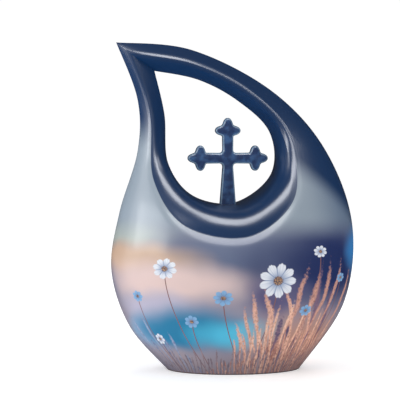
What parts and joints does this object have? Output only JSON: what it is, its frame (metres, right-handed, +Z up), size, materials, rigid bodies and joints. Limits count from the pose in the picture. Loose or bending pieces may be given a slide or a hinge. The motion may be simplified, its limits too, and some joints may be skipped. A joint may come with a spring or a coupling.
{
  "type": "funeral urn",
  "caption": "Hollow drop-shaped cremation urn with a drop-shaped opening in its upper half, a budded cross standing in the opening and a filler plug in its flat underside.",
  "frame": {"origin": "middle of the flat underside, under the middle of the bounding box", "axes": "+Z up, +X to the right seen from the front, with the tip on the -X side, +Y to the back"},
  "size_m": [0.2085, 0.1232, 0.278],
  "materials": {
    "body_lacquer": "gloss lacquer over a soft meadow print, navy on the ring",
    "cross_lacquer": "gloss navy lacquer",
    "plug_metal": "satin, bare"
  },
  "bodies": {
    "root": {"urn_body": "body_lacquer", "cross": "cross_lacquer", "filler_plug": "plug_metal"}
  },
  "joints": []
}
